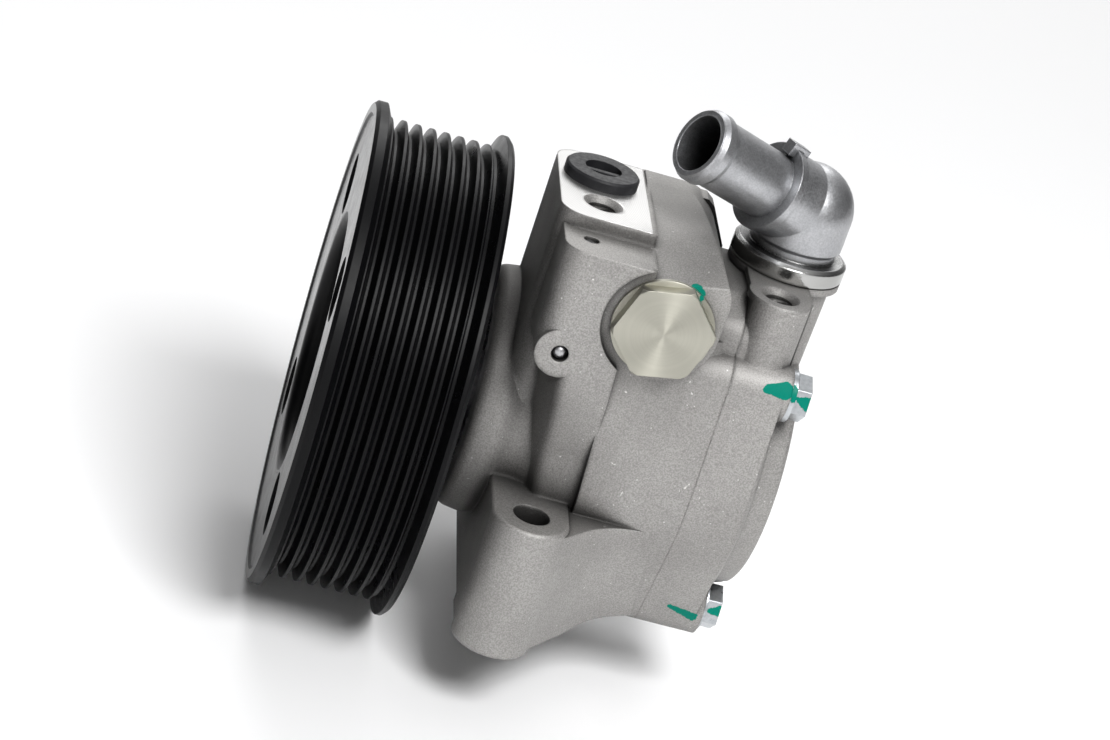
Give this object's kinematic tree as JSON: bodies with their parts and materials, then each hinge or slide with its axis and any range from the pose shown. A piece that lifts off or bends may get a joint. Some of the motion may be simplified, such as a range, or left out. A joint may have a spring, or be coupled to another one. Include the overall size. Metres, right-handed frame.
{
  "type": "power steering pump",
  "caption": "Belt-driven hydraulic vane pump with a multi-rib pulley, a cast housing with mounting legs, a rear cover, a flow control valve plug and an angled inlet elbow.",
  "frame": {"origin": "on the shaft axis, in the plane of the pulley's front rim", "axes": "+X along the shaft from the pulley to the rear cover, +Z along the mounting legs towards the outlet port, -Y towards the side with the valve plug"},
  "size_m": [0.1183, 0.121, 0.1487],
  "materials": {
    "cast_aluminium": "cast",
    "tube_aluminium": "satin",
    "black_paint": "gloss",
    "steel": "satin",
    "zinc_steel": "zinc plated",
    "plug_metal": "turned",
    "bronze": "satin",
    "black_plastic": "matte",
    "rubber": "matte"
  },
  "bodies": {
    "housing_body": {"bearing_outer_ring": "steel", "bearing_snap_ring": "steel", "shaft_seal": "rubber", "housing": "cast_aluminium", "rear_cover": "cast_aluminium", "cover_bolts": "zinc_steel", "inlet_elbow": "tube_aluminium", "elbow_o_ring": "rubber", "transit_cap": "black_plastic", "valve_plug": "plug_metal", "valve_plug_washer": "plug_metal", "spool_spring": "steel", "pilot_ball": "steel", "gallery_plug": "steel", "front_port_plate": "steel", "rear_port_plate": "steel", "cam_ring": "steel", "alignment_dowels": "steel", "rear_bush": "bronze", "cover_o_ring": "rubber"},
    "turning_group": {"pulley": "black_paint", "pulley_hub": "steel", "drive_shaft": "steel", "bearing_inner_ring": "steel", "rotor": "steel", "rotor_snap_ring": "steel", "vane_01": "steel", "vane_02": "steel", "vane_03": "steel", "vane_04": "steel", "vane_05": "steel", "vane_06": "steel", "vane_07": "steel", "vane_08": "steel", "vane_09": "steel", "vane_10": "steel"},
    "ball_cage": {"bearing_balls": "steel", "bearing_cage": "steel"},
    "valve_spool": {"flow_spool": "steel", "relief_seat": "steel", "relief_spring": "steel"},
    "relief_valve": {"relief_ball": "steel"}
  },
  "joints": [
    {"name": "shaft_spin", "type": "hinge", "parent": "housing_body", "child": "turning_group", "pos_m": [0.05, 0, 0], "axis": [1, 0, 0], "continuous": true},
    {"name": "cage_spin", "type": "hinge", "parent": "housing_body", "child": "ball_cage", "pos_m": [0.0502, 0, 0], "axis": [1, 0, 0], "continuous": true},
    {"name": "flow_spool_slide", "type": "slide", "parent": "housing_body", "child": "valve_spool", "axis": [0, 1, 0], "range_m": [0, 0.005], "stiffness_N_per_m": 6000, "springref_m": -0.002, "deforming": ["spool_spring"]},
    {"name": "relief_ball_slide", "type": "slide", "parent": "valve_spool", "child": "relief_valve", "axis": [0, 1, 0], "range_m": [0, 0.0008], "stiffness_N_per_m": 8000, "springref_m": -0.001, "deforming": ["relief_spring"]}
  ],
  "couplings": [
    {"joint": "cage_spin", "follows": "shaft_spin", "ratio": 0.375}
  ]
}
